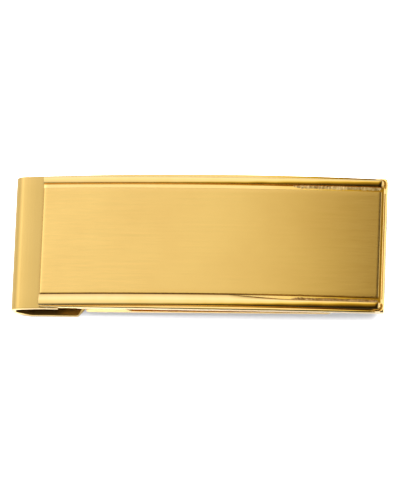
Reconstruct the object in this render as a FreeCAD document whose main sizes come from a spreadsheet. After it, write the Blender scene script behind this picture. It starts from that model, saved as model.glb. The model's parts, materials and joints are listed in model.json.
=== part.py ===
"""Hinged money clip: a bowed face plate with two half-round rails and a satin panel,
a folded spring strip under one end, and a lever that swings on a pin held by the strip.

Millimetres, +Z up. The face looks up and the lever hangs under it. X runs from the folded
end to the free end, Y across the clip. The origin is the middle of the footprint, at the
height of the spring's flat underside.
"""
import FreeCAD, Part
import math
import os

import Sketcher
from FreeCAD import Vector

os.makedirs("parts", exist_ok=True)
doc = FreeCAD.newDocument("money_clip")

# ---------------------------------------------------------------- driving dimensions

DRIVING = {
    "clip_length": 50.2,        # fold to free end
    "clip_width": 19.0,         # widest place of the face plate
    # face plate
    "plate_setback": 3.85,      # fold to the plate's first end
    "plate_thickness": 0.95,
    "plate_crown": 4.94,        # height of the plate's top at its middle
    "bow_radius": 358.0,        # lengthwise bow of the plate's top
    "side_radius": 1300.0,      # the long sides swell a little in plan
    "side_middle": 6.0,         # where the plate is widest
    "rim_width": 0.42,          # raised end border
    "rim_rise": 0.24,
    "rim_bevel": 0.1,           # height of the border's sloping inner side
    "rim_slope": 0.3,           # width of that slope
    "corner_far": 0.4,          # outer corners of the free end
    "corner_near": 0.15,
    # rails and panel
    "rail_radius": 0.55,
    "rail_outside": 9.14,       # outer foot of a rail, from the centre line
    "rail_gap": 0.45,           # rail's end to the plate's free end
    "rail_nose": 0.38,          # rounding of the rail's end
    "panel_width": 14.9,
    "panel_rise": 0.33,
    "panel_gap": 0.74,          # panel's end to the plate's free end
    "panel_edge": 0.09,
    "panel_bevel": 0.26,
    # folded spring strip
    "strip_width": 18.7,
    "strip_thickness": 0.6,
    "fold_radius": 1.0,         # centre line of the strip round the fold
    "fold_rise": 2.2,           # height of the fold's centre
    "seat_end": 6.4,            # fold to the end of the soldered leaf
    "seat_top": 3.78,           # top of the soldered leaf
    "shoulder_angle": 6.0,      # soldered leaf down to the fold
    "under_angle": 33.0,        # fold down to the flat back
    "strip_bend": 2.0,
    "ramp_angle": 60.0,         # flat back up to the hinge tube
    "ramp_bend": 1.0,
    "taper_start": 8.85,        # fold to where the back begins to narrow
    "taper_run": 1.05,
    "tongue_width": 15.9,
    # hinge
    "pin_setback": 10.95,       # fold to the pin's centre
    "pin_rise": 2.75,
    "pin_radius": 0.3,
    "pin_chamfer": 0.06,
    "running_gap": 0.03,
    "tube_radius": 0.8,
    "pin_seat": 0.4,            # depth of the blind holes in the ears
    "pin_endplay": 0.05,
    # lever
    "lever_width": 18.6,
    "lever_thickness": 0.6,
    "lever_end": 43.5,          # fold to the lever's tip
    "lever_low_hinge": 2.05,    # underside height at the pin
    "lever_low_tip": 2.6,       # underside height at the tip
    "lever_corner": 1.0,
    "lever_edge": 0.12,
    "web_setback": 13.2,        # fold to the web's first edge, between the ears
    "ear_front": 0.8,           # pin's centre to the ear's first edge
    "ear_top": 3.565,
    "ear_top_end": 3.71,
    "ear_end": 15.4,
    "ear_slope_end": 16.3,
    "ear_low_corner": 0.5,
    # solder
    "seam_foot": 0.4,
    "seam_rise": 0.16,
    "seam_start": 37.5,         # fold to where solder shows beside the rails
    "seat_seam_rise": 0.2,
    "seat_seam_start": 4.1,
    "seat_seam_end": 6.1,
    "seat_seam_inset": 0.02,    # set back from the sides of the plate and the leaf
    # cutting shapes
    "trim_margin": 1.0,         # how far a cutting shape stands clear of the metal
    "trim_reach": 2.0,
}

# Places that follow from the driving dimensions, as spreadsheet formulas.
DERIVED = {
    "fold_x": "=-clip_length / 2",
    "free_x": "=clip_length / 2",
    "plate_x": "=fold_x + plate_setback",
    "bow_x": "=(plate_x + free_x) / 2",
    "bow_z": "=plate_crown - bow_radius",
    "under_radius": "=bow_radius - plate_thickness",
    "panel_radius": "=bow_radius + panel_rise",
    "plate_top_first": "=bow_z + sqrt(bow_radius^2 - (plate_x - bow_x)^2)",
    "plate_top_free": "=bow_z + sqrt(bow_radius^2 - (free_x - bow_x)^2)",
    "rim_x": "=free_x - rim_width",
    "rim_bevel_x": "=rim_x + rim_slope",
    "plate_top_rim": "=bow_z + sqrt(bow_radius^2 - (rim_x - bow_x)^2)",
    "rim_top": "=plate_top_rim + rim_rise",
    "rim_bevel_z": "=rim_top - rim_bevel",
    "rim_top_free": "=plate_top_free + rim_rise",
    "plate_low_free": "=bow_z + sqrt(under_radius^2 - (free_x - bow_x)^2)",
    "seat_x": "=fold_x + seat_end",
    "plate_low_seat": "=bow_z + sqrt(under_radius^2 - (seat_x - bow_x)^2)",
    "half_width": "=clip_width / 2",
    "plate_half_first": "=half_width - side_radius + sqrt(side_radius^2 - (plate_x - side_middle)^2)",
    "plate_half_free": "=half_width - side_radius + sqrt(side_radius^2 - (free_x - side_middle)^2)",
    "trim_half": "=half_width + trim_margin",
    "trim_first": "=plate_x - trim_reach",
    "trim_free": "=free_x + trim_reach",
    "rail_y": "=rail_outside - rail_radius",
    "rail_end_x": "=free_x - rail_gap",
    "sweep_angle": "=2 * asin((free_x - bow_x + trim_margin) / bow_radius)",
    "panel_end_x": "=free_x - panel_gap",
    "panel_low_first": "=plate_top_first",
    "panel_low_end": "=bow_z + sqrt(bow_radius^2 - (panel_end_x - bow_x)^2)",
    "panel_top_first": "=bow_z + sqrt(panel_radius^2 - (plate_x - bow_x)^2)",
    "panel_top_end": "=bow_z + sqrt(panel_radius^2 - (panel_end_x - bow_x)^2)",
    "leaf_mid_z": "=seat_top - strip_thickness / 2",
    "back_mid_z": "=strip_thickness / 2",
    "fold_centre_x": "=fold_x + fold_radius + strip_thickness / 2",
    "strip_half": "=strip_width / 2",
    "strip_half_thickness": "=strip_thickness / 2",
    "taper_x": "=fold_x + taper_start",
    "taper_end_x": "=taper_x + taper_run",
    "tongue_half": "=tongue_width / 2",
    "taper_out_half": "=strip_half + trim_margin",
    "taper_out_x": "=pin_x + trim_reach",
    "pin_x": "=fold_x + pin_setback",
    "pin_hole_radius": "=pin_radius + running_gap",
    "pin_length": "=lever_width - 2 * lever_thickness + 2 * pin_seat - 2 * pin_endplay",
    "pin_hole_length": "=lever_width - 2 * lever_thickness + 2 * pin_seat",
    "lever_x": "=fold_x + lever_end",
    "ear_x": "=pin_x - ear_front",
    "ear_low_corner_x": "=ear_x + ear_low_corner",
    "lever_slope": "=(lever_low_tip - lever_low_hinge) / (lever_x - ear_low_corner_x)",
    "web_x": "=fold_x + web_setback",
    "web_low": "=lever_low_hinge + lever_slope * (web_x - ear_low_corner_x)",
    "web_top": "=web_low + lever_thickness",
    "lever_top_tip": "=lever_low_tip + lever_thickness",
    "ear_round": "=ear_front",
    "ear_round_x": "=ear_x + ear_round",
    "ear_round_z": "=ear_top - ear_round",
    "ear_low": "=lever_low_hinge",
    "ear_low_corner_z": "=ear_low + ear_low_corner",
    "ear_end_x": "=fold_x + ear_end",
    "ear_slope_x": "=fold_x + ear_slope_end",
    "ear_slope_low": "=lever_low_hinge + lever_slope * (ear_slope_x - ear_low_corner_x)",
    "ear_slope_top": "=ear_slope_low + lever_thickness",
    "ears_inside": "=lever_width - 2 * lever_thickness",
    "ears_cut_first": "=ear_x - trim_margin",
    "ears_cut_end": "=ear_slope_x + trim_margin",
    "ears_cut_low": "=ear_low - trim_margin",
    "ears_cut_top": "=ear_top_end + trim_margin",
    "seam_y": "=rail_outside - 2 * rail_radius",
    "seam_foot_y": "=seam_y - seam_foot",
    "seam_top": "=plate_crown + seam_rise",
    "seam_x": "=fold_x + seam_start",
    "seam_end_x": "=rail_end_x - rail_nose",
    "seat_seam_y": "=plate_half_first - seat_seam_inset",
    "seat_seam_out": "=strip_half - seat_seam_inset",
    "seat_seam_top": "=seat_top + seat_seam_rise",
    "seat_seam_x": "=fold_x + seat_seam_start",
    "seat_seam_length": "=seat_seam_end - seat_seam_start",
}

sizes = doc.addObject("Spreadsheet::Sheet", "Sizes")
for row, (alias, value) in enumerate(list(DRIVING.items()) + list(DERIVED.items()), start=1):
    sizes.set(f"A{row}", alias)
    sizes.set(f"B{row}", str(value))
    sizes.setAlias(f"B{row}", alias)
doc.recompute()


def size(name):
    """The value of a cell; a leading minus gives the opposite value."""
    if name.startswith("-"):
        return -float(sizes.get(name[1:]))
    return float(sizes.get(name))


def bind(target, path, name):
    """Tie one property or constraint to a cell."""
    if name.startswith("-"):
        target.setExpression(path, f"-Sizes.{name[1:]}")
    else:
        target.setExpression(path, f"Sizes.{name}")


# ---------------------------------------------------------------- sketch helpers

START, END, CENTRE = 1, 2, 3
ORIGIN = (-1, 1)


def new_body(label):
    body = doc.addObject("PartDesign::Body", label)
    body.Label = label
    return body


def new_sketch(body, name, role, offset=None):
    """A sketch on one of the body's own origin planes, moved along the plane's normal."""
    plane = next(item for item in body.Origin.OriginFeatures if item.Role == role)
    sketch = body.newObject("Sketcher::SketchObject", name)
    sketch.AttachmentSupport = [(plane, "")]
    sketch.MapMode = "FlatFace"
    if offset:
        bind(sketch, "AttachmentOffset.Base.z", offset)
    return sketch


def measure(sketch, kind, name, *where):
    """Add a dimension and bind it to a cell."""
    index = sketch.addConstraint(Sketcher.Constraint(kind, *where, size(name)))
    bind(sketch, f"Constraints[{index}]", name)


def place_point(sketch, geometry, position, across, up):
    """Fix a point by its two distances from the sketch's origin."""
    measure(sketch, "DistanceX", across, *ORIGIN, geometry, position)
    measure(sketch, "DistanceY", up, *ORIGIN, geometry, position)


def arc_through(first, last, radius, turn):
    """The shorter arc from first to last; turn is +1 if it bends left, -1 if right."""
    chord = last - first
    middle = (first + last) * 0.5
    normal = Vector(-chord.y, chord.x, 0).normalize() * turn
    rise = radius - math.sqrt(radius ** 2 - (chord.Length / 2) ** 2)
    return Part.Arc(first, middle - normal * rise, last)


def near_end(sketch, geometry, point):
    """Which end of an edge lies at a point."""
    if (sketch.getPoint(geometry, START) - point).Length < 1e-6:
        return START
    return END


def add_outline(sketch, corners, bends=None):
    """A closed outline through named corners. bends maps an edge's number to
    (radius, turn), which makes that edge an arc."""
    bends = bends or {}
    points = [Vector(size(across), size(up), 0) for across, up in corners]
    edges = []
    for number, first in enumerate(points):
        last = points[(number + 1) % len(points)]
        if number in bends:
            radius, turn = bends[number]
            geometry = arc_through(first, last, size(radius), turn)
        else:
            geometry = Part.LineSegment(first, last)
        edges.append(sketch.addGeometry(geometry, False))
    for number, edge in enumerate(edges):
        here = points[number]
        before = edges[number - 1]
        ends = (before, near_end(sketch, before, here), edge, near_end(sketch, edge, here))
        sketch.addConstraint(Sketcher.Constraint("Coincident", *ends))
    for number, edge in enumerate(edges):
        place_point(sketch, edge, near_end(sketch, edge, points[number]), *corners[number])
        if number in bends:
            measure(sketch, "Radius", bends[number][0], edge)
    return edges


def add_rectangle(sketch, left, right, low, high):
    return add_outline(sketch, [(left, low), (right, low), (right, high), (left, high)])


def add_circle(sketch, across, up, radius):
    centre = Vector(size(across), size(up), 0)
    circle = sketch.addGeometry(Part.Circle(centre, Vector(0, 0, 1), size(radius)), False)
    place_point(sketch, circle, CENTRE, across, up)
    measure(sketch, "Radius", radius, circle)


# ---------------------------------------------------------------- feature helpers

def pad_both_ways(body, sketch, name, length):
    pad = body.newObject("PartDesign::Pad", name)
    pad.Profile = sketch
    pad.Midplane = True
    bind(pad, "Length", length)
    doc.recompute()
    return pad


def cut_away(body, sketch, name, length=None):
    """Cut both ways from the sketch, right through unless a length is given."""
    before = body.Shape.Volume
    pocket = body.newObject("PartDesign::Pocket", name)
    pocket.Profile = sketch
    pocket.Midplane = True
    if length:
        bind(pocket, "Length", length)
    else:
        pocket.Type = "ThroughAll"
    doc.recompute()
    if not body.Shape.Volume < before:
        raise RuntimeError(f"{name} removed nothing")
    return pocket


def edges_where(feature, test):
    """Names of the feature's edges whose bounding box passes a test."""
    edges = enumerate(feature.Shape.Edges, start=1)
    return [f"Edge{number}" for number, edge in edges if test(edge.BoundBox)]


def flat_at(low, high, name):
    """True where both limits of a box lie at a cell's value."""
    slack = 0.02
    return max(abs(low - size(name)), abs(high - size(name))) < slack


def runs_across(across, up):
    """A test for an edge that runs across the clip at a place named by two cells."""
    return lambda box: flat_at(box.XMin, box.XMax, across) and flat_at(box.ZMin, box.ZMax, up)


def dress(body, kind, name, base, edge_names, amount):
    """A fillet or chamfer on chosen edges."""
    if not edge_names:
        raise RuntimeError(f"{name} found no edges")
    feature = body.newObject(f"PartDesign::{kind}", name)
    feature.Base = (base, edge_names)
    bind(feature, "Radius" if kind == "Fillet" else "Size", amount)
    doc.recompute()
    return feature


# ---------------------------------------------------------------- base plate

def make_base_plate():
    """A bowed plate with a raised border at its free end and a seat under its first end."""
    body = new_body("base_plate")
    side = new_sketch(body, "plate_side", "XZ_Plane")
    corners = [
        ("plate_x", "plate_top_first"),
        ("rim_x", "plate_top_rim"),
        ("rim_x", "rim_bevel_z"),
        ("rim_bevel_x", "rim_top"),
        ("free_x", "rim_top_free"),
        ("free_x", "plate_low_free"),
        ("seat_x", "plate_low_seat"),
        ("seat_x", "seat_top"),
        ("plate_x", "seat_top"),
    ]
    add_outline(side, corners, {0: ("bow_radius", -1), 5: ("under_radius", 1)})
    pad_both_ways(body, side, "plate_slab", "clip_width")

    plan = new_sketch(body, "plate_plan", "XY_Plane")
    corners = [
        ("plate_x", "-plate_half_first"),
        ("free_x", "-plate_half_free"),
        ("free_x", "plate_half_free"),
        ("plate_x", "plate_half_first"),
    ]
    add_outline(plan, corners, {0: ("side_radius", 1), 2: ("side_radius", 1)})
    add_rectangle(plan, "trim_first", "trim_free", "-trim_half", "trim_half")
    trimmed = cut_away(body, plan, "plate_trim")

    def upright(feature, side):
        """The upright edge of the free end on one side."""
        return edges_where(
            feature,
            lambda box: flat_at(box.XMin, box.XMax, "free_x") and flat_at(box.YMin, box.YMax, side),
        )

    far = upright(trimmed, "plate_half_free")
    rounded = dress(body, "Fillet", "far_corner", trimmed, far, "corner_far")
    near = upright(rounded, "-plate_half_free")
    dress(body, "Fillet", "near_corner", rounded, near, "corner_near")
    return body


# ---------------------------------------------------------------- rails

def make_rail(label, side):
    """A half-round bar that follows the plate's bow; side is +1 or -1 across the clip."""
    body = new_body(label)
    section = new_sketch(body, f"{label}_section", "YZ_Plane", "bow_x")
    middle = "rail_y" if side > 0 else "-rail_y"
    centre = Vector(size(middle), size("plate_crown"), 0)
    radius = size("rail_radius")
    circle = Part.Circle(centre, Vector(0, 0, 1), radius)
    arc = section.addGeometry(Part.ArcOfCircle(circle, 0, math.pi), False)
    ends = [centre - Vector(radius, 0, 0), centre + Vector(radius, 0, 0)]
    base = section.addGeometry(Part.LineSegment(*ends), False)
    section.addConstraint(Sketcher.Constraint("Coincident", arc, END, base, START))
    section.addConstraint(Sketcher.Constraint("Coincident", arc, START, base, END))
    section.addConstraint(Sketcher.Constraint("Horizontal", base))
    section.addConstraint(Sketcher.Constraint("PointOnObject", arc, CENTRE, base))
    place_point(section, arc, CENTRE, middle, "plate_crown")
    measure(section, "Radius", "rail_radius", arc)
    bow_revolution(body, section, f"{label}_bow")

    ends_plan = new_sketch(body, f"{label}_ends", "XY_Plane")
    add_rectangle(ends_plan, "plate_x", "rail_end_x", "-trim_half", "trim_half")
    add_rectangle(ends_plan, "trim_first", "trim_free", "-clip_width", "clip_width")
    cut = cut_away(body, ends_plan, f"{label}_cut")
    half_round = size("rail_radius") / 2
    tip = edges_where(
        cut,
        lambda box: flat_at(box.XMin, box.XMax, "rail_end_x") and box.ZLength > half_round,
    )
    dress(body, "Fillet", f"{label}_nose", cut, tip, "rail_nose")
    return body


def bow_revolution(body, section, name):
    """Turn a cross-section about the centre of the bow, the same way both ways."""
    ends = [Vector(size(across), size("bow_z"), 0) for across in ("-rail_radius", "rail_radius")]
    axis = section.addGeometry(Part.LineSegment(*ends), True)
    section.addConstraint(Sketcher.Constraint("Horizontal", axis))
    measure(section, "DistanceX", "-rail_radius", *ORIGIN, axis, START)
    measure(section, "DistanceX", "rail_radius", *ORIGIN, axis, END)
    measure(section, "DistanceY", "bow_z", *ORIGIN, axis, START)
    turn = body.newObject("PartDesign::Revolution", name)
    turn.Profile = section
    turn.ReferenceAxis = (section, ["Axis0"])
    turn.Midplane = True
    bind(turn, "Angle", "sweep_angle")
    doc.recompute()
    return turn


# ---------------------------------------------------------------- panel

def make_panel():
    """The satin panel, bowed like the plate, with eased edges and a bevelled first end."""
    body = new_body("brushed_panel")
    side = new_sketch(body, "panel_side", "XZ_Plane")
    corners = [
        ("plate_x", "panel_low_first"),
        ("panel_end_x", "panel_low_end"),
        ("panel_end_x", "panel_top_end"),
        ("plate_x", "panel_top_first"),
    ]
    add_outline(side, corners, {0: ("bow_radius", -1), 2: ("panel_radius", 1)})
    slab = pad_both_ways(body, side, "panel_slab", "panel_width")
    first = edges_where(slab, runs_across("plate_x", "panel_top_first"))
    bevel = dress(body, "Fillet", "panel_first_bevel", slab, first, "panel_bevel")
    halfway_up = size("plate_crown") + size("panel_rise") / 2
    half_length = size("clip_length") / 2
    along = edges_where(bevel, lambda box: box.XLength > half_length and box.ZMax > halfway_up)
    across = edges_where(bevel, runs_across("panel_end_x", "panel_top_end"))
    dress(body, "Fillet", "panel_edges", bevel, along + across, "panel_edge")
    return body


# ---------------------------------------------------------------- folded spring

def rounded_path(points, radii):
    """Lines through the points, joined at each inner point by an arc of the given radius."""
    pieces = []
    start = points[0]
    for number, radius in enumerate(radii, start=1):
        corner = points[number]
        inward = (corner - points[number - 1]).normalize()
        outward = (points[number + 1] - corner).normalize()
        turn = inward.getAngle(outward)
        reach = radius * math.tan(turn / 2)
        first = corner - inward * reach
        last = corner + outward * reach
        towards = (outward - inward).normalize()
        middle = corner + towards * (radius / math.cos(turn / 2) - radius)
        pieces.append(Part.LineSegment(start, first))
        pieces.append(Part.Arc(first, middle, last))
        start = last
    pieces.append(Part.LineSegment(start, points[-1]))
    return pieces


def crossing(point, angle, height):
    """Where a line through a point, at an angle to X, reaches a height."""
    return Vector(point.x + (height - point.y) / math.tan(angle), height, 0)


def spring_path(body):
    """The strip's centre line: soldered leaf, fold, flat back, ramp to the hinge."""
    path = new_sketch(body, "spring_path", "XZ_Plane")
    fold = Vector(size("fold_centre_x"), size("fold_rise"), 0)
    radius = size("fold_radius")
    shoulder = math.radians(size("shoulder_angle"))
    under = math.radians(size("under_angle"))
    ramp = math.radians(size("ramp_angle"))
    upper_touch = fold + Vector(-math.sin(shoulder), math.cos(shoulder), 0) * radius
    lower_touch = fold - Vector(math.sin(under), math.cos(under), 0) * radius
    pin = Vector(size("pin_x"), size("pin_rise"), 0)
    leaf_bend = crossing(upper_touch, shoulder, size("leaf_mid_z"))
    under_bend = crossing(lower_touch, -under, size("back_mid_z"))
    ramp_foot = crossing(pin, ramp, size("back_mid_z"))

    leaf_end = Vector(size("seat_x"), size("leaf_mid_z"), 0)
    upper = rounded_path([leaf_end, leaf_bend, upper_touch], [size("strip_bend")])
    around = Part.Arc(upper_touch, fold - Vector(radius, 0, 0), lower_touch)
    radii = [size("strip_bend"), size("ramp_bend")]
    lower = rounded_path([lower_touch, under_bend, ramp_foot, pin], radii)
    pieces = upper + [around] + lower
    ids = [path.addGeometry(piece, False) for piece in pieces]

    joints = [piece.EndPoint for piece in upper] + [lower_touch] + [piece.EndPoint for piece in lower]
    starts = [leaf_end, *joints[:-1]]
    for number, here in enumerate(starts[1:], start=1):
        before, after = ids[number - 1], ids[number]
        ends = (before, near_end(path, before, here), after, near_end(path, after, here))
        path.addConstraint(Sketcher.Constraint("Tangent", *ends))
    leaf, leaf_arc, slope, fold_arc, under_line, under_arc, back, ramp_arc, ramp_line = ids
    place_point(path, leaf, START, "seat_x", "leaf_mid_z")
    path.addConstraint(Sketcher.Constraint("Horizontal", leaf))
    measure(path, "Radius", "strip_bend", leaf_arc)
    place_point(path, fold_arc, CENTRE, "fold_centre_x", "fold_rise")
    measure(path, "Radius", "fold_radius", fold_arc)
    measure(path, "Radius", "strip_bend", under_arc)
    path.addConstraint(Sketcher.Constraint("Horizontal", back))
    measure(path, "DistanceY", "back_mid_z", *ORIGIN, back, START)
    measure(path, "Radius", "ramp_bend", ramp_arc)
    place_point(path, ramp_line, END, "pin_x", "pin_rise")
    angles = ((slope, "shoulder_angle"), (under_line, "under_angle"), (ramp_line, "ramp_angle"))
    for line, angle in angles:
        index = path.addConstraint(Sketcher.Constraint("Angle", line, path_angle(path, line)))
        sign = "-" if line == under_line else ""
        turn = " + 180" if line == slope else ""
        path.setExpression(f"Constraints[{index}]", f"({sign}Sizes.{angle}{turn}) * 1 deg")
    return path


def path_angle(sketch, line):
    """The direction of a sketch line, in radians."""
    run = sketch.getPoint(line, END) - sketch.getPoint(line, START)
    angle = math.atan2(run.y, run.x)
    return angle + 2 * math.pi if angle < -math.pi / 2 else angle


def make_spring():
    """One strip of constant thickness, folded over, narrowed to a tongue at the hinge."""
    body = new_body("fold_spring")
    path = spring_path(body)
    section = new_sketch(body, "spring_section", "YZ_Plane", "seat_x")
    low = size("leaf_mid_z") - size("strip_half_thickness")
    high = size("leaf_mid_z") + size("strip_half_thickness")
    half = size("strip_half")
    corners = [
        Vector(-half, low, 0),
        Vector(half, low, 0),
        Vector(half, high, 0),
        Vector(-half, high, 0),
    ]
    edges = [
        section.addGeometry(Part.LineSegment(corners[number], corners[(number + 1) % 4]), False)
        for number in range(4)
    ]
    for number in range(4):
        ends = (edges[number], END, edges[(number + 1) % 4], START)
        section.addConstraint(Sketcher.Constraint("Coincident", *ends))
        direction = "Horizontal" if number % 2 == 0 else "Vertical"
        section.addConstraint(Sketcher.Constraint(direction, edges[number]))
    measure(section, "DistanceY", "strip_thickness", edges[1], START, edges[1], END)
    measure(section, "DistanceX", "strip_width", edges[0], START, edges[0], END)
    place_point(section, edges[2], START, "strip_half", "seat_top")
    doc.recompute()
    strip = body.newObject("PartDesign::AdditivePipe", "spring_strip")
    strip.Profile = section
    strip.Spine = path
    doc.recompute()

    plan = new_sketch(body, "tongue_plan", "XY_Plane")
    for sign in ("", "-"):
        corners = [
            ("taper_x", sign + "taper_out_half"),
            ("taper_x", sign + "strip_half"),
            ("taper_end_x", sign + "tongue_half"),
            ("taper_out_x", sign + "tongue_half"),
            ("taper_out_x", sign + "taper_out_half"),
        ]
        add_outline(plan, corners)
    cut_away(body, plan, "tongue_cut")
    saddle = new_sketch(body, "tube_saddle", "XZ_Plane")
    add_circle(saddle, "pin_x", "pin_rise", "tube_radius")
    cut_away(body, saddle, "saddle_cut")
    return body


# ---------------------------------------------------------------- hinge tube and pin

def make_tube():
    """The hinge tube soldered along the end of the spring's tongue."""
    parts = []
    for name, radius in (("tube_outside", "tube_radius"), ("tube_bore", "pin_hole_radius")):
        cylinder = doc.addObject("Part::Cylinder", name)
        bind(cylinder, "Radius", radius)
        bind(cylinder, "Height", "tongue_width")
        parts.append(cylinder)
    tube = doc.addObject("Part::Cut", "hinge_tube")
    tube.Label = "hinge_tube"
    tube.Base, tube.Tool = parts
    lay_across(tube, "tongue_half")
    return tube


def lay_across(piece, half_length):
    """Turn a piece's Z axis to -Y and put its middle on the pin's axis."""
    piece.Placement = FreeCAD.Placement(Vector(0, 0, 0), FreeCAD.Rotation(Vector(1, 0, 0), 90))
    bind(piece, "Placement.Base.x", "pin_x")
    bind(piece, "Placement.Base.y", half_length)
    bind(piece, "Placement.Base.z", "pin_rise")
    doc.recompute()


def make_pin():
    """A plain pin with chamfered ends."""
    body = new_body("hinge_pin")
    circle = new_sketch(body, "pin_section", "XZ_Plane")
    add_circle(circle, "pin_x", "pin_rise", "pin_radius")
    rod = pad_both_ways(body, circle, "pin_rod", "pin_length")
    rims = edges_where(rod, lambda box: box.YLength < size("running_gap"))
    dress(body, "Chamfer", "pin_ends", rod, rims, "pin_chamfer")
    return body


# ---------------------------------------------------------------- lever

def make_lever():
    """A flat lever with two ears that hold the pin in blind holes."""
    body = new_body("clamp_arm")
    ears = new_sketch(body, "ear_side", "XZ_Plane")
    corners = [
        ("ear_x", "ear_low_corner_z"),
        ("ear_low_corner_x", "ear_low"),
        ("ear_slope_x", "ear_slope_low"),
        ("ear_slope_x", "ear_slope_top"),
        ("ear_end_x", "ear_top_end"),
        ("ear_round_x", "ear_top"),
        ("ear_x", "ear_round_z"),
    ]
    add_outline(ears, corners, {0: ("ear_low_corner", 1), 5: ("ear_round", 1)})
    pad_both_ways(body, ears, "ear_block", "lever_width")
    between = new_sketch(body, "between_ears", "XZ_Plane")
    add_rectangle(between, "ears_cut_first", "ears_cut_end", "ears_cut_low", "ears_cut_top")
    cut_away(body, between, "ear_gap", "ears_inside")

    web = new_sketch(body, "web_side", "XZ_Plane")
    corners = [
        ("web_x", "web_low"),
        ("lever_x", "lever_low_tip"),
        ("lever_x", "lever_top_tip"),
        ("web_x", "web_top"),
    ]
    add_outline(web, corners)
    pad_both_ways(body, web, "web_sheet", "lever_width")
    hole = new_sketch(body, "pin_holes", "XZ_Plane")
    add_circle(hole, "pin_x", "pin_rise", "pin_hole_radius")
    drilled = cut_away(body, hole, "pin_drill", "pin_hole_length")

    thin = size("lever_thickness") / 2

    def upright_at_tip(box):
        return flat_at(box.XMin, box.XMax, "lever_x") and box.YLength < thin and box.ZLength > thin

    tips = edges_where(drilled, upright_at_tip)
    rounded = dress(body, "Fillet", "tip_corners", drilled, tips, "lever_corner")
    half_length = size("clip_length") / 2
    low = edges_where(rounded, lambda box: box.XLength > half_length and box.ZMin < size("web_low"))
    dress(body, "Fillet", "low_edges", rounded, low, "lever_edge")
    return body


# ---------------------------------------------------------------- solder

def make_rail_seam(label, side):
    """A thin run of solder along a rail's inner foot, near the free end."""
    body = new_body(label)
    section = new_sketch(body, f"{label}_section", "YZ_Plane", "bow_x")
    sign = "" if side > 0 else "-"
    corners = [
        (sign + "seam_y", "plate_crown"),
        (sign + "seam_y", "seam_top"),
        (sign + "seam_foot_y", "plate_crown"),
    ]
    add_outline(section, corners)
    bow_revolution(body, section, f"{label}_bow")
    plan = new_sketch(body, f"{label}_ends", "XY_Plane")
    add_rectangle(plan, "seam_x", "seam_end_x", "-trim_half", "trim_half")
    add_rectangle(plan, "trim_first", "trim_free", "-clip_width", "clip_width")
    cut_away(body, plan, f"{label}_cut")
    return body


def make_seat_seam(label, side):
    """A bead of solder in the corner between the plate's side and the soldered leaf."""
    body = new_body(label)
    section = new_sketch(body, f"{label}_section", "YZ_Plane", "seat_seam_x")
    sign = "" if side > 0 else "-"
    corners = [
        (sign + "seat_seam_y", "seat_top"),
        (sign + "seat_seam_out", "seat_top"),
        (sign + "seat_seam_y", "seat_seam_top"),
    ]
    add_outline(section, corners)
    bead = body.newObject("PartDesign::Pad", f"{label}_bead")
    bead.Profile = section
    bind(bead, "Length", "seat_seam_length")
    doc.recompute()
    return body


def make_solder():
    """All visible solder as one group of separate beads."""
    beads = [
        make_rail_seam("upper_rail_seam", 1),
        make_rail_seam("lower_rail_seam", -1),
        make_seat_seam("upper_seat_seam", 1),
        make_seat_seam("lower_seat_seam", -1),
    ]
    group = doc.addObject("Part::Compound", "solder_seams")
    group.Label = "solder_seams"
    group.Links = beads
    doc.recompute()
    return group


# ---------------------------------------------------------------- build, check, write

def check_document():
    for item in doc.Objects:
        if "Invalid" in item.State or "Error" in item.State:
            raise RuntimeError(f"{item.Label} is {item.State}")


def write(node):
    shape = node.Shape
    if shape.isNull() or not shape.isValid():
        raise RuntimeError(f"{node.Label} has no valid shape")
    shape.exportStep(f"parts/{node.Label}.step")
    print(f"{node.Label}: {len(shape.Solids)} solid(s), {shape.Volume:.3f} mm3")


nodes = [
    make_base_plate(),
    make_rail("upper_rail", 1),
    make_rail("lower_rail", -1),
    make_panel(),
    make_spring(),
    make_tube(),
    make_pin(),
    make_lever(),
    make_solder(),
]
doc.recompute()
check_document()
for node in nodes:
    write(node)
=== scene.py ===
"""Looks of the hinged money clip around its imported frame: fine meshes for the visible metal,
procedural metal materials, a pale floor, a soft tent of light and the camera.

Lengths in this file are millimetres until a mesh is made; Blender works in metres.
"""
import json
import math

import bmesh
import bpy
from mathutils import Matrix, Vector, noise

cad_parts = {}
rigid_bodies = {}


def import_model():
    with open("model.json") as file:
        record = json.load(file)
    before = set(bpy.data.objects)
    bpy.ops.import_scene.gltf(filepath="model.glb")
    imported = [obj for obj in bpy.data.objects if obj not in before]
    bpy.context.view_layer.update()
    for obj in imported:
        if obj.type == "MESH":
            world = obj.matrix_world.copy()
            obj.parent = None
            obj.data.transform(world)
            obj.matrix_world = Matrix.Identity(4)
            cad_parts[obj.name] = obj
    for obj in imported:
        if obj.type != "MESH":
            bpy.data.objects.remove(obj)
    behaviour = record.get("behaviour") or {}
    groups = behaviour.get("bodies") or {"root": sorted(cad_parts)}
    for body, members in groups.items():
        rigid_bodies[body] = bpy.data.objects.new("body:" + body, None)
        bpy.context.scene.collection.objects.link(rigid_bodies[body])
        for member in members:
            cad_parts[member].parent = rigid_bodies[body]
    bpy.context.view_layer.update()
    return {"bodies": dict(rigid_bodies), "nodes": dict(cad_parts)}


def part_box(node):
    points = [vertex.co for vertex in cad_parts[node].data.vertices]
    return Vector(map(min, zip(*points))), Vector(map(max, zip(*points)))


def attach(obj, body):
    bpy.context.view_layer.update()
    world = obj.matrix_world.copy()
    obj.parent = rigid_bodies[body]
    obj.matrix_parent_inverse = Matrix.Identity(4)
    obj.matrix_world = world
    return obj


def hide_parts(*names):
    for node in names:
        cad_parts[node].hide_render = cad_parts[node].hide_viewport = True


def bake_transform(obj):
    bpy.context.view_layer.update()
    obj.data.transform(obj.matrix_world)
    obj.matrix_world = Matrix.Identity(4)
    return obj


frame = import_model()

MM = 0.001


# ---------------------------------------------------------------- sizes from the frame

def box_mm(node):
    """Lowest and highest corner of a CAD node, in millimetres."""
    low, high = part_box(node)
    return low / MM, high / MM


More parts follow.
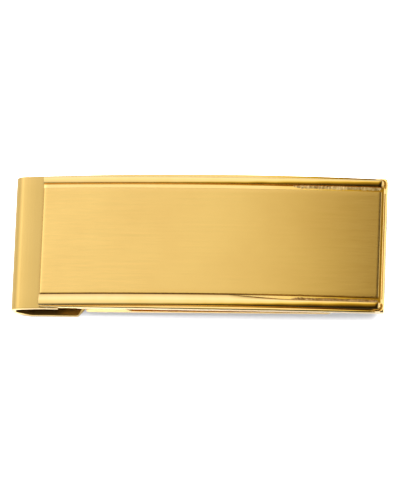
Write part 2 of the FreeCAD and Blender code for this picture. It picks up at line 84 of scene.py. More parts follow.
plate_low, plate_high = box_mm("base_plate")
panel_low, panel_high = box_mm("brushed_panel")
rail_low, rail_high = box_mm("upper_rail")
spring_low, spring_high = box_mm("fold_spring")
tube_low, tube_high = box_mm("hinge_tube")
lever_low, lever_high = box_mm("clamp_arm")

CROWN = 4.94                      # plate's top at the middle of its bow
BOW = 358.0                       # radius of the plate's top, lengthwise
PLATE_GAUGE = 0.95
SINK = 0.02                       # how far the pieces on the plate reach into it
bow_x = (plate_low.x + plate_high.x) / 2
bow_z = CROWN - BOW


def bow(x, rise=0.0):
    """Height of the surface that lies rise above the plate's top."""
    return bow_z + math.sqrt((BOW + rise) ** 2 - (x - bow_x) ** 2)


# ---------------------------------------------------------------- mesh helpers

def new_object(name, mesh_builder, smooth_angle):
    """A mesh object from a bmesh filled by mesh_builder, in millimetres."""
    work = bmesh.new()
    mesh_builder(work)
    bmesh.ops.remove_doubles(work, verts=work.verts, dist=1e-5)
    bmesh.ops.recalc_face_normals(work, faces=work.faces)
    bmesh.ops.scale(work, vec=(MM, MM, MM), verts=work.verts)
    mesh = bpy.data.meshes.new(name)
    work.to_mesh(mesh)
    work.free()
    mesh.shade_smooth()
    mesh.set_sharp_from_angle(angle=math.radians(smooth_angle))
    thing = bpy.data.objects.new(name, mesh)
    bpy.context.scene.collection.objects.link(thing)
    return thing


def skin(work, rings):
    """Join closed rings of equally many points, and close both ends."""
    layers = [[work.verts.new(point) for point in ring] for ring in rings]
    count = len(layers[0])
    for before, after in zip(layers, layers[1:]):
        for i in range(count):
            j = (i + 1) % count
            work.faces.new((before[i], before[j], after[j], after[i]))
    work.faces.new(layers[0])
    work.faces.new(list(reversed(layers[-1])))
    return layers


def rounded_section(y_low, y_high, n_low, n_high, top, bottom, steps=5, across=10):
    """(y, n) points round a rectangle with rounded corners; top and bottom are the corner radii."""
    room = min((n_high - n_low) * 0.49, (y_high - y_low) * 0.49)
    top = max(min(top, room), 1e-3)
    bottom = max(min(bottom, room), 1e-3)
    corners = [
        (y_high - top, n_high - top, top, 0),
        (y_low + top, n_high - top, top, 90),
        (y_low + bottom, n_low + bottom, bottom, 180),
        (y_high - bottom, n_low + bottom, bottom, 270),
    ]

    def on_corner(corner, degrees):
        y, n, radius, start = corner
        angle = math.radians(start + degrees)
        return y + radius * math.cos(angle), n + radius * math.sin(angle)

    points = []
    for number, corner in enumerate(corners):
        points += [on_corner(corner, 90 * step / steps) for step in range(steps + 1)]
        if number in (0, 2):                       # subdivide the wide faces
            from_y, from_n = points[-1]
            to_y, to_n = on_corner(corners[number + 1], 0)
            for step in range(1, across):
                share = step / across
                points.append((from_y + (to_y - from_y) * share, from_n + (to_n - from_n) * share))
    return points


def ring_at(x, z, normal, section):
    """A section placed at (x, z) with its n axis along normal, an (x, z) direction."""
    return [(x + normal[0] * n, y, z + normal[1] * n) for y, n in section]


def spread(first, last, longest):
    """Evenly spaced values from first to last, no further apart than longest."""
    count = max(1, math.ceil(abs(last - first) / longest))
    return [first + (last - first) * i / count for i in range(count + 1)]


def ease(distance, radius):
    """How far a rounded edge has dropped at this distance from the end."""
    if distance >= radius:
        return 0.0
    return radius - math.sqrt(max(radius ** 2 - (radius - distance) ** 2, 0.0))


def edge_places(radius, steps):
    """Distances from an end that follow a rounded edge evenly."""
    return [radius * (1 - math.cos(math.radians(90 * i / steps))) for i in range(steps + 1)]


def waver(place, seed, size):
    """A small smooth irregularity, the same on each run."""
    return noise.noise(Vector((place, seed * 7.31, seed * 3.77))) * size


# ---------------------------------------------------------------- base plate

SIDE_RADIUS = 1300.0              # plan curve of the long sides
SIDE_MIDDLE = 6.0
half_width = (plate_high.y - plate_low.y) / 2
SEAT_END = -18.7                  # where the spring's leaf ends under the plate
SEAT_TOP = spring_high.z
RIM_WIDTH = 0.42
RIM_RISE = 0.24
LIP_RISE = 0.05                   # the margin outside a rail turns up a little
LIP_SLOPE = 0.36                  # width of the rounded inner side of rim and lip
LIP_CURVE = 1.2
LIP_CORNER = 0.5                  # where rim and lip meet
LIP_REACH = 1.3                   # the lip grows into the rim over this length
CORNER_FAR = 0.4                  # outer corners of the free end, at +Y and at -Y
CORNER_NEAR = 0.15
PLATE_EDGE = 0.035                # rounding of the polished upper edge
FIRST_EDGE = 0.06                 # rounding of the end over the spring's leaf
FREE_EDGE = 0.07                  # rounding of the free end
UNDER_EDGE = 0.05                 # bevel along the underside
FINE_LENGTH = 1.9                 # the free end's border is finely divided over this length
FINE_STEP = 0.045
FINE_MARGIN = 0.97                # and so are the margins along the long sides
LONG_STEP = 0.5


def plate_half(x):
    return half_width - SIDE_RADIUS + math.sqrt(SIDE_RADIUS ** 2 - (x - SIDE_MIDDLE) ** 2)


def lip(x, y):
    """How far the plate's top turns up at the free end and outside the rails."""
    rim_x = plate_high.x - RIM_WIDTH
    over_x = x - (rim_x - LIP_CORNER)
    over_y = abs(y) - (rail_high.y - LIP_CORNER)
    outside = math.hypot(max(over_x, 0.0), max(over_y, 0.0)) + min(max(over_x, over_y), 0.0) - LIP_CORNER
    if outside <= 0:
        return 0.0
    share = min(max((x - rim_x) / LIP_REACH + 1, 0.0), 1.0)
    rise = LIP_RISE + (RIM_RISE - LIP_RISE) * share ** 2 * (3 - 2 * share)
    return rise * (1 - (1 - min(outside / LIP_SLOPE, 1.0)) ** LIP_CURVE)


def build_plate(work):
    free_x = plate_high.x
    fine_x = free_x - FINE_LENGTH
    under = BOW - PLATE_GAUGE

    def underside(x):
        return bow_z + math.sqrt(under ** 2 - (x - bow_x) ** 2)

    stations = [(plate_low.x + d, ease(d, FIRST_EDGE), SEAT_TOP) for d in edge_places(FIRST_EDGE, 3)]
    stations += [(x, 0.0, SEAT_TOP) for x in spread(plate_low.x + FIRST_EDGE, SEAT_END, LONG_STEP)[1:]]
    stations += [(x, 0.0, underside(x)) for x in spread(SEAT_END, fine_x, LONG_STEP)]
    stations += [(x, 0.0, underside(x)) for x in spread(fine_x, free_x - FREE_EDGE, FINE_STEP)[1:]]
    for d in reversed(edge_places(FREE_EDGE, 4)[:-1]):
        stations.append((free_x - d, ease(d, FREE_EDGE), underside(free_x - d)))
    insets = [0.0, 0.03, *spread(0.07, FINE_MARGIN, FINE_STEP)]
    shares = spread(0, 1, 1 / 12)
    rings = []
    for x, drop, low in stations:
        far = plate_half(x) - ease(free_x - x, CORNER_FAR)
        near = plate_half(x) - ease(free_x - x, CORNER_NEAR) - waver(x * 0.6, 1, 0.012)
        flat = far + near - 2 * UNDER_EDGE
        points = [(far, low + UNDER_EDGE), (far - UNDER_EDGE, low)]
        points += [(far - UNDER_EDGE - share * flat, low) for share in shares[1:]]
        points.append((-near, low + UNDER_EDGE))
        top_places = [inset - near for inset in insets]
        middle = far + near - 2 * insets[-1]
        top_places += [insets[-1] - near + share * middle for share in shares[1:-1]]
        top_places += [far - inset for inset in reversed(insets)]
        for y in top_places:
            edge = min(y + near, far - y)
            points.append((y, bow(x) + lip(x, y) - drop - ease(edge, PLATE_EDGE)))
        rings.append([(x, y, z) for y, z in points])
    skin(work, rings)


# ---------------------------------------------------------------- rails

RAIL_RADIUS = (rail_high.y - rail_low.y) / 2
RAIL_NOSE = 0.38                  # rounding of the bar's end
RAIL_STEPS = 64                   # divisions over the bar's section
FULLNESS = 0.84                   # below 1 the bar's section is fuller than a half circle
SLOPE = 0.44                      # the lower rail's inner side runs gently down to the plate
SLOPE_CURVE = 1.8                 # fullness of that side
SLOPE_BASE = 0.24                 # height where it drops into the groove beside the panel
SLOPE_END = 13.4                  # beyond this the bar is plain
SLOPE_FADE = 9.0                  # the slope narrows over this length


def rail_builder(side, seed):
    """A builder for the bar on the +Y side (1) or the -Y side (-1)."""
    middle = side * (rail_low.y + rail_high.y) / 2
    half_way = RAIL_STEPS // 2

    def build(work):
        places = [(x, 0.0) for x in spread(rail_low.x, rail_high.x - RAIL_NOSE, 0.4)]
        places += [(rail_high.x - d, ease(d, RAIL_NOSE)) for d in reversed(edge_places(RAIL_NOSE, 8))][1:]
        rings = []
        for x, inset in places:
            radius = RAIL_RADIUS - inset + waver(x * 0.45, seed, 0.006)
            gentle = 0.0
            if side < 0:
                gentle = min(max((SLOPE_END - x) / SLOPE_FADE, 0.0), 1.0)
            foot = bow(x) - SINK
            ring = []
            for i in range(RAIL_STEPS + 1):
                angle = math.pi * i / RAIL_STEPS
                across = math.cos(angle)
                y = math.copysign(radius * abs(across) ** FULLNESS, across)
                z = radius * math.sin(angle) ** FULLNESS
                if i < half_way:
                    share = 1 - i / half_way
                    slope_z = SLOPE_BASE + (radius - SLOPE_BASE) * (1 - share ** SLOPE_CURVE)
                    y += gentle * (share * (radius + SLOPE) - y)
                    z += gentle * (slope_z - z)
                ring.append((x, middle + y, bow(x) + z))
            ring.append((x, middle - radius, foot))
            ring.append((x, middle + radius + gentle * SLOPE, foot))
            rings.append(ring)
        skin(work, rings)

    return build


# ---------------------------------------------------------------- panel

PANEL_RISE = 0.33
PANEL_EDGE = 0.09
PANEL_BEVEL = 0.26                # the end near the fold is rounded more


def build_panel(work):
    places = [(panel_low.x + d, ease(d, PANEL_BEVEL)) for d in edge_places(PANEL_BEVEL, 8)]
    places += [(x, 0.0) for x in spread(panel_low.x + PANEL_BEVEL, panel_high.x - PANEL_EDGE, 0.35)[1:]]
    places += [(panel_high.x - d, ease(d, PANEL_EDGE)) for d in reversed(edge_places(PANEL_EDGE, 5))][1:]
    rings = []
    for x, drop in places:
        low = bow(x) - SINK
        top = bow(x, PANEL_RISE) - drop
        y_low = panel_low.y + waver(x * 0.5, 4, 0.012)
        y_high = panel_high.y + waver(x * 0.5, 5, 0.012)
        section = rounded_section(y_low, y_high, low, top, PANEL_EDGE, 0.005, across=24)
        rings.append(ring_at(x, 0.0, (0, 1), section))
    skin(work, rings)


# ---------------------------------------------------------------- folded spring

GAUGE = 0.6                       # thickness of the strip
FOLD_RADIUS = 1.0                 # centre line round the fold
FOLD_RISE = 2.2
STRIP_BEND = 2.0
RAMP_BEND = 1.0
SHOULDER = math.radians(6)        # from the leaf down to the fold
UNDER = math.radians(33)          # from the fold down to the flat back
RAMP = math.radians(60)           # from the flat back up to the tube
TAPER_START = -16.25              # the back narrows from here
TAPER_END = -15.2                 # to the tongue's width here
TONGUE_HALF = 7.95
STRIP_EDGE = 0.07
TUBE_BITE = 0.05                  # how far the strip's end reaches into the tube's wall
pin = Vector(((tube_low.x + tube_high.x) / 2, (tube_low.z + tube_high.z) / 2))
tube_radius = (tube_high.z - tube_low.z) / 2


def crossing(point, angle, height):
    """Where a line through a point, at an angle to X, reaches a height."""
    return Vector((point.x + (height - point.y) / math.tan(angle), height))


def rounded_line(points, radii, longest):
    """Points along straight runs joined by arcs, with arcs finely divided."""
    line = []
    start = points[0]
    for number, radius in enumerate(radii, start=1):
        corner = points[number]
        inward = (corner - points[number - 1]).normalized()
        outward = (points[number + 1] - corner).normalized()
        turn = inward.angle(outward)
        reach = radius * math.tan(turn / 2)
        first = corner - inward * reach
        last = corner + outward * reach
        centre = corner + (outward - inward).normalized() * (radius / math.cos(turn / 2))
        for share in spread(0, 1, longest / max((first - start).length, 1e-6))[:-1]:
            line.append(start.lerp(first, share))
        a = math.atan2(first.y - centre.y, first.x - centre.x)
        b = math.atan2(last.y - centre.y, last.x - centre.x)
        b = a + (b - a + math.pi) % (2 * math.pi) - math.pi
        for share in spread(0, 1, 1 / 10)[:-1]:
            angle = a + (b - a) * share
            line.append(centre + Vector((math.cos(angle), math.sin(angle))) * radius)
        start = last
    end = points[-1]
    for share in spread(0, 1, longest / (end - start).length):
        line.append(start.lerp(end, share))
    return line


def spring_line():
    """The strip's centre line from the leaf under the plate, round the fold, to the tube."""
    fold = Vector((spring_low.x + FOLD_RADIUS + GAUGE / 2, FOLD_RISE))
    upper = fold + Vector((-math.sin(SHOULDER), math.cos(SHOULDER))) * FOLD_RADIUS
    lower = fold - Vector((math.sin(UNDER), math.cos(UNDER))) * FOLD_RADIUS
    leaf_z = SEAT_TOP - GAUGE / 2
    leaf = rounded_line(
        [Vector((SEAT_END, leaf_z)), crossing(upper, SHOULDER, leaf_z), upper], [STRIP_BEND], 0.4
    )
    start = math.pi / 2 + SHOULDER
    sweep = math.pi - SHOULDER - UNDER
    arc = []
    for share in spread(0, 1, 1 / 36)[1:-1]:
        angle = start + sweep * share
        arc.append(fold + Vector((math.cos(angle), math.sin(angle))) * FOLD_RADIUS)
    back_z = GAUGE / 2
    towards = (crossing(pin, RAMP, back_z) - pin).normalized()
    end = pin + towards * (tube_radius - TUBE_BITE)
    back = rounded_line(
        [lower, crossing(lower, -UNDER, back_z), crossing(pin, RAMP, back_z), end],
        [STRIP_BEND, RAMP_BEND],
        0.3,
    )
    return leaf + arc + back


def build_spring(work):
    line = spring_line()
    rings = []
    half = (spring_high.y - spring_low.y) / 2
    for number, point in enumerate(line):
        before = line[max(number - 1, 0)]
        after = line[min(number + 1, len(line) - 1)]
        along = (after - before).normalized()
        normal = (along.y, -along.x)
        width = half
        if point.x > TAPER_START:
            share = min((point.x - TAPER_START) / (TAPER_END - TAPER_START), 1.0)
            width = half + (TONGUE_HALF - half) * share
        wobble = waver(number * 0.11, 8, 0.012)
        section = rounded_section(
            -width - wobble, width, -GAUGE / 2, GAUGE / 2, STRIP_EDGE, STRIP_EDGE, steps=4
        )
        rings.append(ring_at(point.x, point.y, normal, section))
    layers = skin(work, rings)
    inside = {i for i, (y, n) in enumerate(section) if n < -GAUGE / 2 + 0.01}
    inner = {layer[i] for layer in layers for i in inside}
    for face in work.faces:
        if all(corner in inner for corner in face.verts):
            face.material_index = 1               # the inside of the fold, rougher metal darkened with painted shade


# ---------------------------------------------------------------- solder

SEAM_START = 12.4
SEAM_FOOT = 0.42
SEAM_HEIGHT = 0.17
SEAM_GROW = 1.2                   # length over which a seam swells at its start
SEAM_STOP = 0.25                  # and shrinks at the bar's end
SEAT_SEAM = (-21.0, -19.0)        # ends of the seams beside the spring's leaf


def rail_bead(work, side, seed):
    """A rough fillet of solder between a rail's inner foot and the plate."""
    wall = side * rail_low.y
    end = rail_high.x - RAIL_NOSE
    rings = []
    for x in spread(SEAM_START, end, 0.05):
        taper = min((x - SEAM_START) / SEAM_GROW, (end - x) / SEAM_STOP, 1.0)
        taper = max(taper, 0.05) ** 0.5
        lumps = 0.72 + 0.5 * abs(noise.noise(Vector((x * 2.1, seed, 0))))
        lumps += 0.28 * noise.noise(Vector((x * 6.3, seed, 2)))
        foot = SEAM_FOOT * taper * lumps
        height = SEAM_HEIGHT * taper * (0.6 + 0.6 * lumps)
        buried = wall + side * 0.05
        ring = [(x, buried, bow(x) - SINK), (x, buried, bow(x) + height)]
        for i in range(7):
            share = i / 6
            sag = (1 - share) ** 1.3
            rough = 0.06 * noise.noise(Vector((x * 5.0, share * 3.1, seed)))
            rough += 0.03 * noise.noise(Vector((x * 12.0, share * 5.0, seed)))
            ring.append((x, wall - side * foot * share, bow(x) + height * sag + rough * (1 - share ** 3)))
        ring.append((x, wall - side * foot, bow(x) - SINK))
        rings.append(ring)
    skin(work, rings)


def seat_bead(work, side, seed):
    """A rough bead in the corner between the plate's side and the spring's leaf."""
    first, last = SEAT_SEAM
    wall = side * (plate_half(first) - 0.03)
    out = side * ((spring_high.y - spring_low.y) / 2 - 0.02)
    rings = []
    for x in spread(first, last, 0.07):
        share = (x - first) / (last - first)
        swell = math.sin(math.pi * min(max(share, 0.03), 0.97)) ** 0.5
        lumps = swell * (0.75 + 0.5 * abs(noise.noise(Vector((x * 2.7, seed, 5)))))
        low = SEAT_TOP - 0.03
        ring = [(x, wall, low), (x, out, low)]
        for i in range(6):
            turn = math.radians(90 * i / 5)
            rough = 0.02 * noise.noise(Vector((x * 8.0, i * 0.9, seed)))
            y = wall + (out - wall) * (math.cos(turn) * lumps + rough)
            ring.append((x, y, SEAT_TOP + 0.26 * lumps * math.sin(turn) + rough * 0.3))
        rings.append(ring)
    skin(work, rings)


def build_solder(work):
    rail_bead(work, 1, 11.0)
    rail_bead(work, -1, 23.0)
    seat_bead(work, 1, 31.0)
    seat_bead(work, -1, 47.0)


# ---------------------------------------------------------------- materials

def node(tree, kind, **values):
    made = tree.nodes.new(kind)
    for key, value in values.items():
        setattr(made, key, value)
    return made


def grey(tone):
    return tone, tone, tone


def ramp(tree, source, stops):
    """A colour ramp fed by source; stops are (position, colour)."""
    made = node(tree, "ShaderNodeValToRGB")
    made.color_ramp.elements[0].position = stops[0][0]
    made.color_ramp.elements[0].color = (*stops[0][1], 1)
    made.color_ramp.elements[1].position = stops[-1][0]
    made.color_ramp.elements[1].color = (*stops[-1][1], 1)
    for position, colour in stops[1:-1]:
        element = made.color_ramp.elements.new(position)
        element.color = (*colour, 1)
    tree.links.new(source, made.inputs["Fac"])
    return made.outputs["Color"]


def grain(tree, scale, detail=4.0, rough=0.6, seed=0.0):
    """Noise at a scale given per millimetre along X, Y and Z."""
    place = node(tree, "ShaderNodeTexCoord")
    mapping = node(tree, "ShaderNodeMapping")
    mapping.inputs["Scale"].default_value = [s / MM for s in scale]
    mapping.inputs["Location"].default_value = (seed, seed * 0.37, seed * 0.71)
    tree.links.new(place.outputs["Object"], mapping.inputs["Vector"])
    texture = node(tree, "ShaderNodeTexNoise")
    texture.inputs["Scale"].default_value = 1.0
    texture.inputs["Detail"].default_value = detail
    texture.inputs["Roughness"].default_value = rough
    tree.links.new(mapping.outputs["Vector"], texture.inputs["Vector"])
    return texture.outputs["Fac"]


def math_node(tree, operation, a, b, c=0.0):
    made = node(tree, "ShaderNodeMath", operation=operation)
    for slot, value in enumerate((a, b, c)):
        if isinstance(value, (int, float)):
            made.inputs[slot].default_value = value
        else:
            tree.links.new(value, made.inputs[slot])
    return made.outputs[0]


def blend_colours(tree, factor, a, b, mode="MIX"):
    made = node(tree, "ShaderNodeMix", data_type="RGBA", blend_type=mode)
    for slot, value in ((0, factor), (6, a), (7, b)):
        if isinstance(value, (int, float)):
            made.inputs[slot].default_value = value
        elif isinstance(value, tuple):
            made.inputs[slot].default_value = (*value, 1)
        else:
            tree.links.new(value, made.inputs[slot])
    return made.outputs[2]


BOUNCE = (0.42, 0.42, 0.46)       # painted bounce light: the metal glows this grey for diffuse rays, so the paper's shadow stays neutral
PAINTED_CORNER_SHADE = (0.045, 0.024, 0.007)   # painted shade in inner corners


def metal(name, colour, roughness, brush, brush_depth, stain, edge, edge_radius=0.05, patch=0.25,
          wave=0.0, across=None, stretch=0.0, corner_shade_strength=0.85, streak_tone=0.93, corner=0.45, along=None):
    """A metal with brushing along or across, uneven colour, painted shade in inner corners, and worn edges.

    colour: base; stain: colour in the duller patches; edge: colour where edges are rubbed.
    brush: scale of the brushing per millimetre on X, Y, Z; brush_depth: its height in millimetres.
    wave: height in millimetres of the long, slow unevenness of polished sheet.
    across: the direction at right angles to the brushing, in which reflections are stretched.
    corner_shade_strength: how strongly inner corners are darkened with painted shade.
    along: tones along X, as (millimetres, tone): painted light and shade over a curved piece."""
    made = bpy.data.materials.new(name)
    made.use_nodes = True
    tree = made.node_tree
    shader = tree.nodes["Principled BSDF"]
    shader.inputs["Metallic"].default_value = 1.0

    streaks = grain(tree, brush, detail=5.0, rough=0.65, seed=1.3)
    patches = grain(tree, (patch, patch, patch), detail=3.0, seed=4.1)
    specks = grain(tree, (5.0, 5.0, 5.0), detail=2.0, rough=0.7, seed=8.7)

    tone = ramp(tree, patches, [(0.38, grey(0)), (0.72, grey(1))])
    base = blend_colours(tree, tone, colour, stain)
    fine = ramp(tree, streaks, [(0.3, grey(streak_tone)), (0.7, grey(1))])
    base = blend_colours(tree, 1.0, base, fine, "MULTIPLY")

    if along:
        first, last = along[0][0], along[-1][0]
        place = node(tree, "ShaderNodeTexCoord")
        parts = node(tree, "ShaderNodeSeparateXYZ")
        tree.links.new(place.outputs["Object"], parts.inputs["Vector"])
        length = last - first
        share = math_node(tree, "MULTIPLY_ADD", parts.outputs["X"], 1 / (length * MM), -first / length)
        stops = [((x - first) / length, grey(tone)) for x, tone in along]
        base = blend_colours(tree, 1.0, base, ramp(tree, share, stops), "MULTIPLY")

    # Painted shade: where ambient occlusion finds inner corners, the colour is darkened towards dark brown,
    # mottled by specks.
    shelter = node(tree, "ShaderNodeAmbientOcclusion", samples=6)
    shelter.inputs["Distance"].default_value = corner * MM
    corner_shade_mask = ramp(tree, shelter.outputs["AO"], [(0.40, grey(1)), (0.64, grey(0))])
    corner_shade_mask = math_node(tree, "MULTIPLY", corner_shade_mask, math_node(tree, "MULTIPLY_ADD", specks, 0.6, 0.5))
    corner_shade_mask = math_node(tree, "MULTIPLY", corner_shade_mask, corner_shade_strength)
    base = blend_colours(tree, corner_shade_mask, base, PAINTED_CORNER_SHADE)

    bevel = node(tree, "ShaderNodeBevel", samples=4)
    bevel.inputs["Radius"].default_value = edge_radius * MM
    geometry = node(tree, "ShaderNodeNewGeometry")
    turn = node(tree, "ShaderNodeVectorMath", operation="DOT_PRODUCT")
    tree.links.new(bevel.outputs["Normal"], turn.inputs[0])
    tree.links.new(geometry.outputs["Normal"], turn.inputs[1])
    rubbed = ramp(tree, turn.outputs["Value"], [(0.80, grey(1)), (0.985, grey(0))])
    rubbed = math_node(tree, "MULTIPLY", rubbed, math_node(tree, "MULTIPLY_ADD", specks, 0.7, 0.3))
    base = blend_colours(tree, rubbed, base, edge)
    tree.links.new(base, shader.inputs["Base Color"])

    rough = math_node(tree, "MULTIPLY_ADD", streaks, roughness * 0.5, roughness * 0.75)
    tree.links.new(rough, shader.inputs["Roughness"])
    if across:
        shader.inputs["Anisotropic"].default_value = stretch
        direction = node(tree, "ShaderNodeCombineXYZ")
        for slot, value in enumerate(across):
            direction.inputs[slot].default_value = value
        tree.links.new(direction.outputs["Vector"], shader.inputs["Tangent"])

    height = math_node(tree, "MULTIPLY", streaks, brush_depth)
    if wave:
        slow = grain(tree, (0.12, 0.3, 0.3), detail=1.0, seed=6.6)
        height = math_node(tree, "ADD", height, math_node(tree, "MULTIPLY", slow, wave))
    bump = node(tree, "ShaderNodeBump")
    bump.inputs["Strength"].default_value = 1.0
    bump.inputs["Distance"].default_value = MM
    tree.links.new(height, bump.inputs["Height"])
    tree.links.new(bevel.outputs["Normal"], bump.inputs["Normal"])
    tree.links.new(bump.outputs["Normal"], shader.inputs["Normal"])

    # Painted light: for diffuse rays the metal is a grey glow instead of a mirror.
    bounce_glow = node(tree, "ShaderNodeEmission")
    bounce_glow.inputs["Color"].default_value = (*BOUNCE, 1)
    seen = node(tree, "ShaderNodeLightPath")
    either = node(tree, "ShaderNodeMixShader")
    tree.links.new(seen.outputs["Is Diffuse Ray"], either.inputs[0])
    tree.links.new(shader.outputs["BSDF"], either.inputs[1])
    tree.links.new(bounce_glow.outputs["Emission"], either.inputs[2])
    output = next(item for item in tree.nodes if item.type == "OUTPUT_MATERIAL")
    tree.links.new(either.outputs["Shader"], output.inputs["Surface"])
    return made


def wear(thing, material):
    """Give a piece or a CAD node its material."""
    if thing.data.materials:
        thing.data.materials.clear()
    thing.data.materials.append(material)


polished = metal(
    "polished_gold", (0.95, 0.68, 0.27), 0.06, (0.12, 7.0, 7.0), 0.0003,
    stain=(0.92, 0.64, 0.23), edge=(0.98, 0.78, 0.40), wave=0.002,
)
satin = metal(
    "satin_gold", (0.785, 0.535, 0.173), 0.24, (0.06, 5.0, 5.0), 0.0008,
    stain=(0.75, 0.50, 0.158), edge=(0.98, 0.76, 0.38), patch=0.09,
    across=(0, 1, 0), stretch=0.5, streak_tone=0.935,
)
# Painted light and shade on the strip: the tones along X are lighter near the fold and darker towards the
# plate, and corner=1.0 spreads the painted corner shade from the plate's end wall.
strip = metal(
    "spring_gold", (0.70, 0.475, 0.150), 0.30, (5.0, 0.06, 5.0), 0.0004,
    stain=(0.68, 0.455, 0.137), edge=(0.98, 0.76, 0.38), patch=0.09,
    across=(1, 0, 0), stretch=0.5, streak_tone=0.93, corner=1.0,
    along=[(-25.1, 0.98), (-24.5, 0.87), (-24.0, 1.0), (-23.3, 0.92), (-22.4, 0.85), (-21.6, 0.82)],
)
# The inside of the fold: rougher metal whose dark brown colour is painted shade inside the loop; corner=3.0
# spreads the painted corner shade further.
shaded_inside_metal = metal(
    "inside_gold_painted_shade", (0.24, 0.14, 0.035), 0.35, (5.0, 0.1, 5.0), 0.002,
    stain=(0.17, 0.095, 0.022), edge=(0.70, 0.48, 0.16), patch=0.2, corner=3.0,
)
lever_metal = metal(
    "lever_gold", (0.84, 0.55, 0.15), 0.2, (0.1, 6.0, 6.0), 0.0008,
    stain=(0.76, 0.47, 0.11), edge=(0.95, 0.72, 0.33), wave=0.002,
)
solder_metal = metal(
    "solder", (0.86, 0.62, 0.27), 0.30, (6.0, 6.0, 6.0), 0.012,
    stain=(0.42, 0.26, 0.09), edge=(0.95, 0.72, 0.36), patch=1.6, corner_shade_strength=0.6,
)
steel = metal(
    "pin_steel", (0.62, 0.60, 0.57), 0.22, (9.0, 0.6, 9.0), 0.0008,
    stain=(0.42, 0.39, 0.36), edge=(0.8, 0.78, 0.75),
)


# ---------------------------------------------------------------- pieces

SHARP = 50                        # edges steeper than this many degrees stay sharp
SOLDER_SHARP = 60

plate = new_object("plate", build_plate, SHARP)
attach(plate, "clip_body")
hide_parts("base_plate")
wear(plate, polished)

for side, label, seed in ((1, "upper_rail", 2), (-1, "lower_rail", 3)):
    rail = new_object(f"{label}_bar", rail_builder(side, seed), SHARP)
    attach(rail, "clip_body")
    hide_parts(label)
    wear(rail, polished)

panel = new_object("satin_panel", build_panel, SHARP)
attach(panel, "clip_body")
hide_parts("brushed_panel")
wear(panel, satin)

solder = new_object("solder_beads", build_solder, SOLDER_SHARP)
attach(solder, "clip_body")
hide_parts("solder_seams")
wear(solder, solder_metal)

spring = new_object("spring_strip", build_spring, SHARP)
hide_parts("fold_spring")
wear(spring, strip)
spring.data.materials.append(shaded_inside_metal)
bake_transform(spring)

for name, material, slot in (
    ("hinge_tube", strip, "spring_gold"),
    ("hinge_pin", steel, "pin_steel"),
    ("clamp_arm", lever_metal, "polished_gold"),
):
    wear(frame["nodes"][name], material)


# ---------------------------------------------------------------- floor

FLOOR_GAP = 0.01                  # keeps the floor clear of the spring's flat back
FLOOR_REACH = 4.0                 # metres
FOOT = 17.1                       # distance from the middle to where a bent strip reaches lowest

# Painted reflection: the floor's tones as only the metal mirrors them, against ten times the metres towards
# -Y.
MIRRORED_AXIS = (0.4, -10.0, 0.0)
PAINTED_REFLECTION_TONES = [
    (0.076, 0.25), (0.084, 1.0), (0.094, 1.0), (0.104, 0.60), (0.112, 0.50), (0.122, 0.20), (0.136, 0.01),
]


def make_floor():
    mesh = bpy.data.meshes.new("floor")
    corners = [(x * FLOOR_REACH, y * FLOOR_REACH) for x, y in ((-1, -1), (1, -1), (1, 1), (-1, 1))]
    mesh.from_pydata([(x, y, -FLOOR_GAP * MM) for x, y in corners], [], [(0, 1, 2, 3)])
    floor = bpy.data.objects.new("floor", mesh)
    bpy.context.scene.collection.objects.link(floor)
    paper = bpy.data.materials.new("pale_paper")
    paper.use_nodes = True
    tree = paper.node_tree
    shader = tree.nodes["Principled BSDF"]
    shader.inputs["Roughness"].default_value = 0.9
    shader.inputs["Specular IOR Level"].default_value = 0.0
    fibre = grain(tree, (1.5, 1.5, 1.5), detail=3.0)
    tone = ramp(tree, fibre, [(0.3, grey(0.86)), (0.7, grey(0.89))])
    place = node(tree, "ShaderNodeTexCoord")
    distance = node(tree, "ShaderNodeVectorMath", operation="DOT_PRODUCT")
    distance.inputs[1].default_value = MIRRORED_AXIS
    tree.links.new(place.outputs["Object"], distance.inputs[0])
    stops = [(position, grey(share)) for position, share in PAINTED_REFLECTION_TONES]
    mirrored = ramp(tree, distance.outputs["Value"], stops)
    # Glossy rays see the painted reflection tones instead of the plain paper.
    seen = node(tree, "ShaderNodeLightPath")
    tone = blend_colours(tree, seen.outputs["Is Glossy Ray"], tone, mirrored)
    tree.links.new(tone, shader.inputs["Base Color"])
    mesh.materials.append(paper)
    keep_below(floor)


def keep_below(floor):
    """Lower the floor when a moved body reaches under it: the lever's tip or the spring's foot."""
    driver = floor.driver_add("location", 2).driver
    driver.type = "SCRIPTED"
    for name, body, channel in (
        ("lever_z", "lever", "LOC_Z"),
        ("lever_turn", "lever", "ROT_Y"),
        ("end_z", "spring_end", "LOC_Z"),
        ("end_turn", "spring_end", "ROT_Y"),
    ):
        variable = driver.variables.new()
        variable.name = name
        variable.type = "TRANSFORMS"
        target = variable.targets[0]
        target.id = frame["bodies"][body]
        target.transform_type = channel
        target.transform_space = "WORLD_SPACE"
    # No corner of the lever is lower than this at any opening.
    tip = (lever_high.x + lever_low.z) * MM
    lift = lever_low.z * MM
    foot = FOOT * MM
    driver.expression = (
        f"min(0, min(lever_z - {tip:.5f} * sin(lever_turn) + {lift:.5f}, end_z + {foot:.5f} * sin(end_turn)))"
    )


make_floor()


# ---------------------------------------------------------------- light

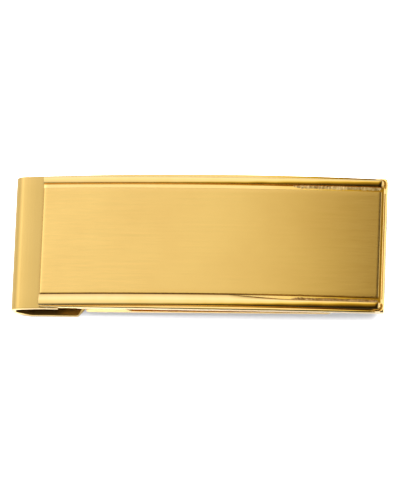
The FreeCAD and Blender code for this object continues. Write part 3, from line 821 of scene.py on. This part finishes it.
# Colours of the tent from -X (0) to +X (1), and their strength from -Y (0) to +Y (1).
TENT_AXIS = (1.0, -0.0876, -0.0216)
TENT_COLOURS = [
    (0.0, grey(0.75)),
    (0.08, grey(1.1)),
    (0.20, grey(1.6)),
    (0.30, grey(1.2)),
    (0.36, (0.98, 0.98, 0.97)),
    (0.46, (0.96, 0.94, 0.84)),
    (0.4775, (0.87, 0.81, 0.44)),
    (0.49, (0.60, 0.48, 0.08)),
    (0.50, (0.36, 0.25, 0.02)),
    (0.515, (0.20, 0.135, 0.03)),
    (0.53, (0.07, 0.05, 0.012)),
    (0.545, (0.025, 0.016, 0.006)),
    (0.60, (0.03, 0.02, 0.008)),
    (0.65, (0.28, 0.24, 0.16)),
    (0.70, (0.75, 0.73, 0.68)),
    (1.0, grey(0.90)),
]
TENT_STRENGTHS = [
    (0.0, grey(0.01)),
    (0.0075, grey(0.12)),
    (0.0275, grey(0.6)),
    (0.06, grey(0.9)),
    (0.10, grey(1.0)),
    (0.65, grey(1.26)),
    (0.85, (1.42, 1.42, 1.7)),
    (0.94, (1.25, 1.25, 1.45)),
    (0.99, (0.80, 0.80, 0.84)),
]


def make_tent():
    """Soft bright tent over the left and the back, with a dark band to the right."""
    world = bpy.data.worlds.new("tent")
    bpy.context.scene.world = world
    world.use_nodes = True
    tree = world.node_tree
    tree.nodes.clear()
    place = node(tree, "ShaderNodeTexCoord")
    across = node(tree, "ShaderNodeVectorMath", operation="DOT_PRODUCT")
    across.inputs[1].default_value = TENT_AXIS
    tree.links.new(place.outputs["Generated"], across.inputs[0])
    share = math_node(tree, "MULTIPLY_ADD", across.outputs["Value"], 0.5, 0.5)
    light = ramp(tree, share, TENT_COLOURS)
    parts = node(tree, "ShaderNodeSeparateXYZ")
    tree.links.new(place.outputs["Generated"], parts.inputs["Vector"])
    share = math_node(tree, "MULTIPLY_ADD", parts.outputs["Y"], 0.5, 0.5)
    strength = ramp(tree, share, TENT_STRENGTHS)
    light = blend_colours(tree, 1.0, light, strength, "MULTIPLY")
    seen = node(tree, "ShaderNodeLightPath")
    chosen = blend_colours(tree, seen.outputs["Is Camera Ray"], light, grey(1.0))
    background = node(tree, "ShaderNodeBackground")
    background.inputs["Strength"].default_value = 1.0
    tree.links.new(chosen, background.inputs["Color"])
    output = node(tree, "ShaderNodeOutputWorld")
    tree.links.new(background.outputs["Background"], output.inputs["Surface"])


def make_fill():
    """A large lamp that whitens the floor but isn't mirrored in the metal."""
    lamp = bpy.data.lights.new("fill", "AREA")
    lamp.shape = "DISK"
    lamp.size = 1.8
    lamp.energy = 95.0
    thing = bpy.data.objects.new("fill", lamp)
    bpy.context.scene.collection.objects.link(thing)
    thing.location = (-0.08, 0.45, 1.2)
    thing.rotation_euler = (-thing.location).to_track_quat("-Z", "Y").to_euler()
    thing.visible_glossy = False


make_tent()
make_fill()
bpy.context.scene.view_settings.view_transform = "Standard"
bpy.context.scene.view_settings.look = "None"


# ---------------------------------------------------------------- camera

CAMERA_TOWARDS = Vector((0.0783, -0.3183, 0.9447)).normalized()     # from the clip to the camera
CAMERA_AIM = Vector((0, 0, 2.5 * MM))
CAMERA_DISTANCE = 1.0634          # metres
CAMERA_ROLL = math.radians(0.754)
LENS = 712.2                      # for a sensor 36 mm wide


def make_camera():
    """A long lens, tilted from straight above towards -Y, rolled so that the clip falls to the right."""
    towards = CAMERA_TOWARDS
    lens = bpy.data.cameras.new("camera")
    lens.sensor_fit = "HORIZONTAL"
    lens.sensor_width = 36.0
    lens.lens = LENS
    lens.clip_start = 0.05
    lens.clip_end = 20.0
    camera = bpy.data.objects.new("camera", lens)
    bpy.context.scene.collection.objects.link(camera)
    camera.location = CAMERA_AIM + towards * CAMERA_DISTANCE
    along = Vector((1, 0, 0))
    right = (along - towards * along.dot(towards)).normalized()
    up = towards.cross(right)
    cos_roll, sin_roll = math.cos(CAMERA_ROLL), math.sin(CAMERA_ROLL)
    right, up = right * cos_roll + up * sin_roll, up * cos_roll - right * sin_roll
    axes = Matrix((right, up, towards)).transposed()
    camera.rotation_euler = axes.to_euler()
    bpy.context.scene.camera = camera


make_camera()
